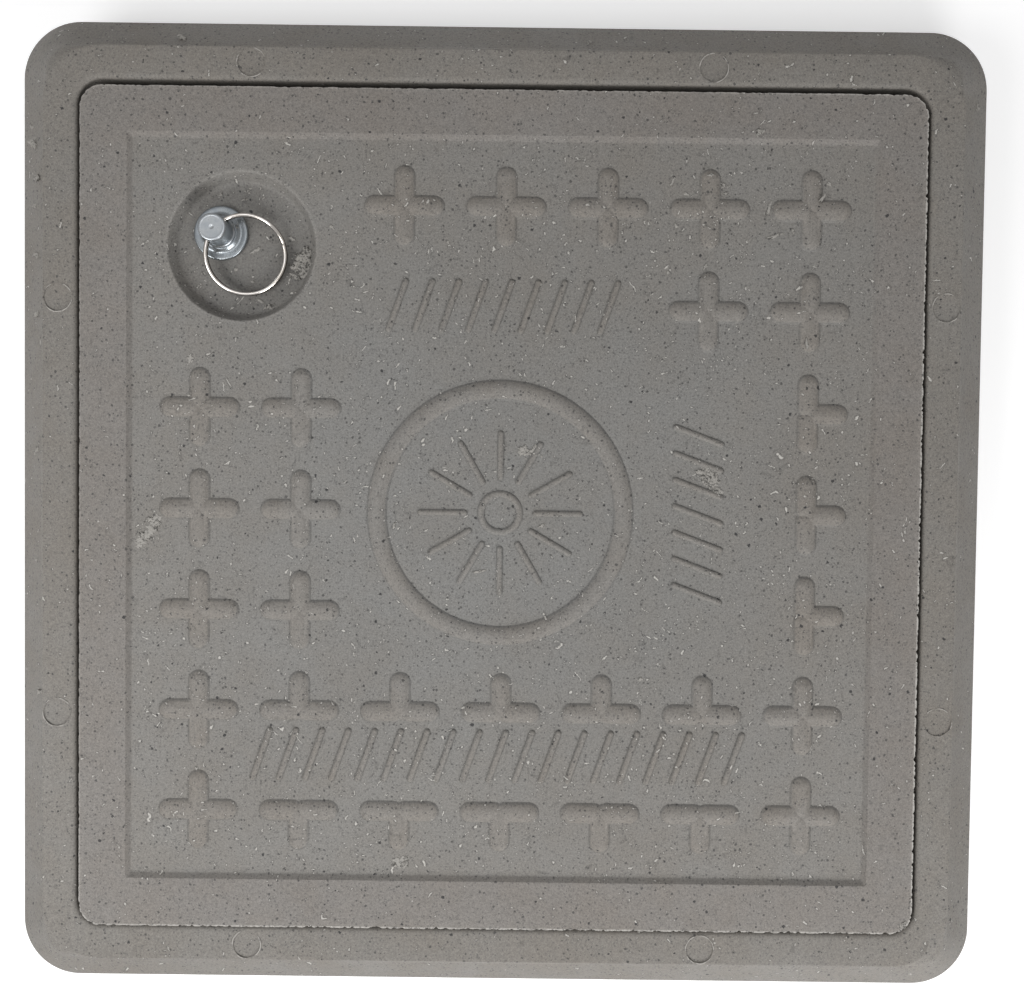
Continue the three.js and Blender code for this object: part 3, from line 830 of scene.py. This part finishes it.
class Look:
    """A node material, with short calls for the nodes that it needs."""

    def __init__(self, name):
        self.material = bpy.data.materials.new(name)
        self.material.use_nodes = True
        self.tree = self.material.node_tree
        self.shader = self.tree.nodes["Principled BSDF"]

    def link(self, value, socket):
        if isinstance(value, bpy.types.NodeSocket):
            self.tree.links.new(value, socket)
        else:
            socket.default_value = value

    def surface(self, name, value):
        """Sets one input of the shader."""
        self.link(value, self.shader.inputs[name])

    def new(self, kind):
        return self.tree.nodes.new("ShaderNode" + kind)

    def place(self):
        return self.new("TexCoord").outputs["Object"]

    def axes(self, vector):
        node = self.new("SeparateXYZ")
        self.link(vector, node.inputs["Vector"])
        return node.outputs

    def times(self, a, b):
        return self.math("MULTIPLY", a, b)

    def noise(self, vector, size, detail=3, roughness=0.55, output="Fac"):
        node = self.new("TexNoise")
        self.link(vector, node.inputs["Vector"])
        node.inputs["Scale"].default_value = 1 / size
        node.inputs["Detail"].default_value = detail
        node.inputs["Roughness"].default_value = roughness
        return node.outputs[output]

    def wobbled(self, vector, size, amount):
        """The vector, moved about by noise."""
        colour = self.noise(vector, size, 2, 0.5, "Color")
        shift = self.vector("MULTIPLY_ADD", colour, (2 * amount,) * 3, (-amount,) * 3)
        return self.vector("ADD", vector, shift)

    def vector(self, operation, *values):
        node = self.new("VectorMath")
        node.operation = operation
        for value, socket in zip(values, node.inputs):
            self.link(value, socket)
        return node.outputs["Value" if operation == "LENGTH" else "Vector"]

    def math(self, operation, *values, clamp=False):
        node = self.new("Math")
        node.operation = operation
        node.use_clamp = clamp
        for value, socket in zip(values, node.inputs):
            self.link(value, socket)
        return node.outputs["Value"]

    def spread(self, value, low, high, to_low=0.0, to_high=1.0):
        """The value's stretch from low to high, eased and set to a new stretch."""
        node = self.new("MapRange")
        node.interpolation_type = "SMOOTHSTEP"
        for name, number in (("From Min", low), ("From Max", high), ("To Min", to_low), ("To Max", to_high)):
            node.inputs[name].default_value = number
        self.link(value, node.inputs["Value"])
        return node.outputs["Result"]

    def mix(self, factor, a, b, blend="MIX"):
        node = self.new("Mix")
        node.data_type = "RGBA"
        node.blend_type = blend
        self.link(factor, node.inputs["Factor"])
        self.link((*a, 1) if isinstance(a, tuple) else a, node.inputs["A"])
        self.link((*b, 1) if isinstance(b, tuple) else b, node.inputs["B"])
        return node.outputs["Result"]

    def specks(self, vector, cell, radius, share):
        """Spots, one in each share of the cells of the given size: 0 at a spot's middle and 1 at
        its edge, whose distance from the middle is 0.4 to 1.6 times the given radius."""
        cells = self.new("TexVoronoi")
        self.link(vector, cells.inputs["Vector"])
        cells.inputs["Scale"].default_value = 1 / cell
        split = self.new("SeparateColor")
        self.link(cells.outputs["Color"], split.inputs["Color"])
        left_out = self.math("GREATER_THAN", split.outputs["Red"], share)
        size = self.math("MULTIPLY_ADD", split.outputs["Green"], 1.2 * radius / cell, 0.4 * radius / cell)
        inside = self.math("DIVIDE", cells.outputs["Distance"], size)
        return self.math("MULTIPLY_ADD", left_out, 9, inside)

    def tinted(self, colour, tint):
        return self.mix(1.0, colour, tint, "MULTIPLY")

    def scaled(self, colour, factor):
        return self.tinted(colour, (factor,) * 3)

    def shaded(self, colour, mask, factor):
        """The colour, made darker or paler where the mask is."""
        return self.mix(mask, colour, self.scaled(colour, factor))

    def painted(self, colour, mask, strength, tone):
        return self.mix(self.times(mask, strength), colour, tone)

    def past_corner(self, vector, half, corner):
        """A distance that grows outwards and equals the corner radius on a rounded square."""
        flat = self.vector("ABSOLUTE", self.vector("MULTIPLY", vector, (1, 1, 0)))
        beyond = self.vector("SUBTRACT", flat, (half - corner, half - corner, 0))
        return self.vector("LENGTH", self.vector("MAXIMUM", beyond, (0, 0, 0)))

    def bump(self, height, depth, below=None):
        node = self.new("Bump")
        node.inputs["Strength"].default_value = 1
        node.inputs["Distance"].default_value = depth
        self.link(height, node.inputs["Height"])
        if below is not None:
            self.link(below, node.inputs["Normal"])
        return node.outputs["Normal"]


def sandy_grey(look, place, outward, grey, broad, patches, grain):
    """The grey with soft clouds and a sandy grain, browner towards the outside."""
    fine = look.noise(place, 0.3 * MM, 2, 0.6)
    clouds = look.spread(broad, 0.4, 0.7, 0, 0.25)
    brown = look.math("MULTIPLY_ADD", look.spread(patches, 0.3, 0.75), 0.4, clouds)
    brown = look.math("ADD", brown, look.spread(outward, 30 * MM, 140 * MM, 0, 0.45), clamp=True)
    colour = look.mix(brown, grey, look.tinted(grey, BROWNER))
    for pattern, low, high, at_low, at_high in (
        (broad, 0.25, 0.75, 1.04, 0.96), (grain, 0.25, 0.78, 0.80, 1.18), (fine, 0.3, 0.7, 0.86, 1.14),
    ):
        ends = look.scaled(colour, at_low), look.scaled(colour, at_high)
        colour = look.mix(look.spread(pattern, low, high), *ends)
    return colour


def cover_wear_and_painted_light(look, place, axes, outward, grain, colour):
    """A dish coloured darker inside by painted shade and paler round its rim by a painted highlight,
    a raw pale lip that is widest on the cover's near and right edges, and dusty raised shapes
    with a line of painted shade where they stand on the panel."""
    flat = look.vector("MULTIPLY", place, (1, 1, 0))
    away = look.vector("LENGTH", look.vector("SUBTRACT", flat, tuple(DISH)))
    # Painted shade: the dish is coloured darker inside its rim.
    in_dish = look.spread(away, DISH_RIM - 0.5 * MM, DISH_FLOOR_RADIUS - 3 * MM, 0, 0.8)
    colour = look.shaded(colour, in_dish, 0.82)
    # Painted highlight: a paler ring along the dish's rounded rim.
    from_rim = look.math("ABSOLUTE", look.math("SUBTRACT", away, DISH_RIM + 0.2 * MM))
    colour = look.shaded(colour, look.spread(from_rim, 1.0 * MM, 0.2 * MM, 0, 0.8), 1.14)

    edge = look.past_corner(place, COVER_HALF, COVER_CORNER)
    on_top = look.spread(axes["Z"], TOP - 0.5 * MM, TOP - 0.1 * MM)
    side = look.math("SUBTRACT", axes["X"], axes["Y"])
    worn = look.times(look.spread(side, -80 * MM, 60 * MM, 0.25, 1), on_top)
    near_edge = look.spread(edge, COVER_CORNER - 2.5 * MM, COVER_CORNER)
    colour = look.shaded(colour, look.times(near_edge, worn), 1.10)
    lip = look.times(look.spread(edge, COVER_CORNER - 0.6 * MM, COVER_CORNER - 0.25 * MM), worn)
    colour = look.mix(look.times(lip, look.spread(grain, 0.3, 0.55)), colour, RAW_LIP)

    inner = look.spread(outward, PANEL_HALF - 3 * MM, PANEL_HALF - 4 * MM)
    height = look.math("SUBTRACT", axes["Z"], PANEL)
    # Painted shade: a darker line where the raised shapes meet the panel.
    foot_painted_shade = look.times(look.spread(height, 0.03 * MM, 0.15 * MM), look.spread(height, 0.8 * MM, 0.35 * MM))
    colour = look.shaded(colour, look.times(foot_painted_shade, inner), 0.87)
    raised = look.times(look.spread(height, 0.3 * MM, 0.9 * MM), inner)
    return look.mix(raised, colour, look.tinted(colour, DUSTY))


def frame_burr_and_painted_light(look, place, axes, outward, colour):
    """A bevel coloured darker by painted shade, a painted highlight along the crease at its head
    and a raw burr round the ejector marks.
    """
    # Painted shade: the bevel outside the rim is coloured a little darker.
    colour = look.shaded(colour, look.spread(outward, RIM_HALF, RIM_HALF + 1.5 * MM), 0.95)
    burr = look.spread(axes["Z"], TOP + 0.08 * MM, TOP + 0.2 * MM, 0, 0.7)
    colour = look.mix(burr, colour, RAW_BURR)
    # Painted highlight: a paler line along the crease at the bevel's head.
    crease = look.math("SUBTRACT", look.past_corner(place, RIM_HALF, RIM_CORNER), RIM_CORNER)
    crease = look.spread(look.math("ABSOLUTE", crease), 0.8 * MM, 0.1 * MM, 0, 0.7)
    return look.shaded(colour, crease, 1.09)


def speckled(look, place, panel, colour):
    """The colour with dark specks of three sizes and pale flakes, and their height for a bump."""
    uneven = look.wobbled(place, 0.8 * MM, 0.5 * MM)

    def spots(shift, cell, radius, share, soft=0.2):
        moved = look.vector("ADD", uneven, shift)
        return look.spread(look.specks(moved, cell * MM, radius * MM, share), 1 + soft, 1 - soft)

    def slivers(stretch, shift, cell, radius, share):
        moved = look.vector("ADD", look.vector("MULTIPLY", turned_place, stretch), shift)
        return look.specks(moved, cell * MM, radius * MM, share)

    cluster = look.spread(look.noise(look.vector("ADD", place, (0.1, 0.5, 0)), 22 * MM, 2), 0.3, 0.7)
    by_place = look.math("MULTIPLY_ADD", cluster, 0.6, 0.2)
    pale_share = look.times(by_place, look.math("MULTIPLY_ADD", panel, 0.65, 0.35))
    torn = look.wobbled(place, 0.45 * MM, 0.42 * MM)
    turned_place = look.wobbled(torn, 14 * MM, 12 * MM)
    upright = slivers((1.0, 0.55, 1.0), (0.02, 0.07, 0.01), 2.0, 0.26, pale_share)
    lying = slivers((0.5, 1.0, 1.0), (0.6, 0.2, 0), 2.2, 0.24, pale_share)
    long = slivers((1.0, 0.22, 1.0), (0, 0, 0), 5, 0.27, look.times(pale_share, 0.8))
    nearest = look.math("MINIMUM", look.math("MINIMUM", upright, lying), long)
    pale = look.spread(nearest, 1.15, 0.85)

    colour = look.painted(colour, spots((0, 0, 0), 1.0, 0.23, 0.8, 0.3), 0.55, TINY_SPECK)
    colour = look.painted(colour, spots((0.3, 0, 0), 1.8, 0.29, 0.75), 0.8, SMALL_SPECK)
    large = spots((0.05, 0.02, 0.01), 4.8, 0.38, 0.65)
    colour = look.painted(colour, large, 0.9, LARGE_SPECK)
    # Painted shadow: a darker ring round each pale flake.
    colour = look.painted(colour, look.spread(nearest, 2.6, 1.4), 0.45, look.scaled(colour, 0.5))
    colour = look.painted(colour, pale, 0.85, PALE_SPECK)
    return colour, look.math("SUBTRACT", pale, large)


def composite(name, is_cover):
    """Moulded polymer and sand: grey with brown and greenish clouds, dark specks and pale flakes.
    The cover's panel is greyer than the rest and has more flakes."""
    look = Look(name)
    place = look.place()
    broad = look.noise(place, 60 * MM, 3, 0.6)
    patches = look.noise(look.vector("ADD", place, (0.31, 0.17, 0)), 17 * MM, 4, 0.6)
    grain = look.noise(place, 0.75 * MM, 3, 0.7)

    axes = look.axes(place)
    outward = look.math("MAXIMUM", look.math("ABSOLUTE", axes["X"]), look.math("ABSOLUTE", axes["Y"]))
    if is_cover:
        panel = look.spread(outward, PANEL_HALF, PANEL_HALF - 2.5 * MM)
        grey = look.mix(panel, BORDER_TONE, PANEL_TONE)
        colour = sandy_grey(look, place, outward, grey, broad, patches, grain)
        colour = cover_wear_and_painted_light(look, place, axes, outward, grain, colour)
    else:
        panel = 0.0
        colour = sandy_grey(look, place, outward, FRAME_TONE, broad, patches, grain)
        colour = frame_burr_and_painted_light(look, place, axes, outward, colour)
    colour, flecks = speckled(look, place, panel, colour)
    look.surface("Base Color", colour)

    gloss = look.math("MULTIPLY_ADD", grain, 0.2, look.spread(patches, 0.3, 0.7, 0.50, 0.62))
    look.surface("Roughness", gloss)
    look.surface("Specular IOR Level", 0.35)
    swell = look.bump(look.noise(place, 9 * MM, 3, 0.5), 0.10 * MM)
    rough = look.bump(grain, 0.035 * MM, swell)
    look.surface("Normal", look.bump(flecks, 0.08 * MM, rough))
    return look.material


def scrap_look(name, dark, pale, crack_shade_level):
    """Bits of hardened resin and sand stuck on the surface: pale and crumbly, with dark pits whose
    colour is painted shade for the cracks between grains.
    """
    look = Look(name)
    place = look.place()
    lumps = look.noise(place, 0.9 * MM, 4, 0.65)
    grain = look.noise(place, 0.35 * MM, 2, 0.6)
    # The dark colour here is painted shade for the cracks between grains.
    tone = look.mix(look.spread(lumps, crack_shade_level - 0.07, crack_shade_level + 0.06), dark, pale)
    tone = look.mix(look.spread(grain, 0.52, 0.75, 0, 0.7), tone, SCRAP_SPARKLE)
    look.surface("Base Color", tone)
    look.surface("Roughness", look.spread(lumps, 0.3, 0.7, 0.62, 0.8))
    look.surface("Normal", look.bump(look.math("ADD", lumps, grain), 0.10 * MM))
    return look.material


def turned_steel(name, colour, roughness):
    """Turned steel with a bright plating: fine rings round the axis, cloudy sheen and small scuffs."""
    look = Look(name)
    place = look.place()
    flat = look.vector("MULTIPLY", place, (1.0, 1.0, 0.0))
    radius = look.vector("LENGTH", flat)
    rings = look.new("TexNoise")
    rings.noise_dimensions = "1D"
    rings.inputs["Scale"].default_value = 1 / (0.16 * MM)
    rings.inputs["Detail"].default_value = 3
    look.link(radius, rings.inputs["W"])
    clouds = look.noise(place, 3.2 * MM, 4, 0.65)
    scuffs = look.noise(look.vector("MULTIPLY", place, (1.0, 0.22, 0.6)), 0.5 * MM, 3, 0.6)
    tone = look.mix(look.spread(clouds, 0.35, 0.68), colour, look.tinted(colour, ZINC_CLOUD))
    tone = look.mix(look.spread(scuffs, 0.64, 0.76, 0, 0.4), tone, ZINC_SCUFF)
    look.surface("Base Color", tone)
    look.surface("Metallic", 0.92)
    sheen = look.math("MULTIPLY_ADD", clouds, 0.20, roughness - 0.1)
    sheen = look.math("MULTIPLY_ADD", rings.outputs["Fac"], 0.08, sheen)
    look.surface("Roughness", sheen)
    marks = look.bump(rings.outputs["Fac"], 0.006 * MM)
    dents = look.bump(look.math("ADD", scuffs, clouds), 0.02 * MM, marks)
    look.surface("Normal", dents)
    return look.material


def nickel(name):
    """Nickel plated spring wire, warm and bright, with duller patches, and painted shadow and a
    painted dark reflection down its sides.
    """
    look = Look(name)
    place = look.place()
    worn = look.noise(place, 5 * MM, 2, 0.5)
    tone = look.mix(look.spread(worn, 0.4, 0.7), BRIGHT_NICKEL, WORN_NICKEL)
    facing = look.axes(look.new("TexCoord").outputs["Normal"])
    # Painted shadow and a painted dark reflection: the wire's sides, where the normal leans away from up, are
    # coloured darker.
    side_painted_shade = look.spread(look.math("ABSOLUTE", facing["Z"]), 0.72, 0.45)
    tone = look.mix(side_painted_shade, tone, NICKEL_SIDE_SHADE)
    look.surface("Base Color", tone)
    look.surface("Metallic", 1)
    look.surface("Roughness", look.spread(worn, 0.3, 0.7, 0.12, 0.2))
    look.surface("Normal", look.bump(look.noise(place, 0.6 * MM, 2, 0.5), 0.004 * MM))
    return look.material


def floor_look():
    look = Look("pale_floor")
    place = look.place()
    tone = look.mix(look.noise(place, 0.4, 2), (0.955, 0.955, 0.955), (0.975, 0.975, 0.975))
    look.surface("Base Color", tone)
    look.surface("Roughness", 0.9)
    look.surface("Emission Color", (1, 1, 1, 1))
    look.surface("Emission Strength", 0.3)
    return look.material


# ---- pieces on their bodies ----

def dress(piece, look, body, node, crisp):
    if piece.data.materials:
        piece.data.materials[0] = look
    else:
        piece.data.materials.append(look)
    smooth(piece, crisp)
    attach(piece, body)
    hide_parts(node)


def build_object():
    frame_look = composite("frame_composite", False)
    cover_look = composite("cover_composite", True)
    zinc = turned_steel("zinc_plate", BRIGHT_ZINC, 0.27)
    # Painted shade: the sleeve in the dish gets a darker copy of the same zinc.
    shaded_zinc = turned_steel("shaded_zinc_plate", SHADED_ZINC, 0.24)
    dress(frame_moulding(), frame_look, "frame", "frame", 34)
    dress(cover_moulding(), cover_look, "cover", "cover_plate", 34)
    dress(pin_sleeve(), shaded_zinc, "cover", "pin_sleeve", 40)
    washer_under = washer("flat_washer", "sleeve_washer", SLEEVE_HOLE)
    dress(washer_under, zinc, "cover", "sleeve_washer", 40)
    dress(hex_nut(), zinc, "cover", "sleeve_nut", 30)
    washer_on_pin = washer("stop_washer", "pin_washer", PIN_CLEARANCE)
    dress(washer_on_pin, zinc, "pin_collar", "pin_washer", 40)
    dress(lifting_pin(), zinc, "pin", "lifting_pin", 40)
    dress(split_ring(), nickel("nickel_wire"), "ring", "split_ring", 60)


# ---- studio ----

def build_floor():
    reach, level = 3.0, -0.2 * MM
    corners = (-reach, -reach), (reach, -reach), (reach, reach), (-reach, reach)
    floor = add_object("floor", [(x, y, level) for x, y in corners], [(0, 1, 2, 3)])
    floor.data.materials.append(floor_look())


def build_world():
    world = bpy.data.worlds.new("studio")
    world.use_nodes = True
    tree = world.node_tree
    where = tree.nodes.new("ShaderNodeTexCoord")
    split = tree.nodes.new("ShaderNodeSeparateXYZ")
    ramp = tree.nodes.new("ShaderNodeValToRGB")
    tree.links.new(where.outputs["Generated"], split.inputs[0])
    tree.links.new(split.outputs["Z"], ramp.inputs["Fac"])
    horizon, zenith = ramp.color_ramp.elements
    horizon.color = (*HORIZON_GLOW, 1)
    zenith.color = (*ZENITH_GLOW, 1)
    for height, glow in SKY_GLOW:
        ramp.color_ramp.elements.new(height).color = (glow, glow, glow, 1)
    background = tree.nodes["Background"]
    tree.links.new(ramp.outputs["Color"], background.inputs["Color"])
    background.inputs["Strength"].default_value = SKY_STRENGTH
    bpy.context.scene.world = world


def add_light(name, place, watts):
    """A round soft light that shines on the middle of the object."""
    light = bpy.data.lights.new(name, "AREA")
    light.shape = "DISK"
    light.size = LIGHT_SIZE
    light.energy = watts
    holder = bpy.data.objects.new(name, light)
    holder.location = place
    holder.rotation_euler = (-Vector(place)).to_track_quat("-Z", "Y").to_euler()
    holder.visible_camera = False
    bpy.context.scene.collection.objects.link(holder)


def build_camera():
    camera = bpy.data.cameras.new("camera")
    camera.sensor_width = 36
    camera.lens = CAMERA_LENS_MM
    camera.shift_x, camera.shift_y = CAMERA_SHIFT
    camera.clip_start = 0.01
    holder = bpy.data.objects.new("camera", camera)
    holder.location = CAMERA_PLACE
    angle = math.radians(CAMERA_TURN_DEGREES.length)
    holder.rotation_mode = "QUATERNION"
    holder.rotation_quaternion = Matrix.Rotation(angle, 3, CAMERA_TURN_DEGREES).to_quaternion()
    bpy.context.scene.collection.objects.link(holder)
    bpy.context.scene.camera = holder


build_object()
build_floor()
build_world()
add_light("key", KEY_PLACE, KEY_WATTS)
add_light("side", SIDE_PLACE, SIDE_WATTS)
build_camera()
bpy.context.scene.view_settings.view_transform = "Standard"
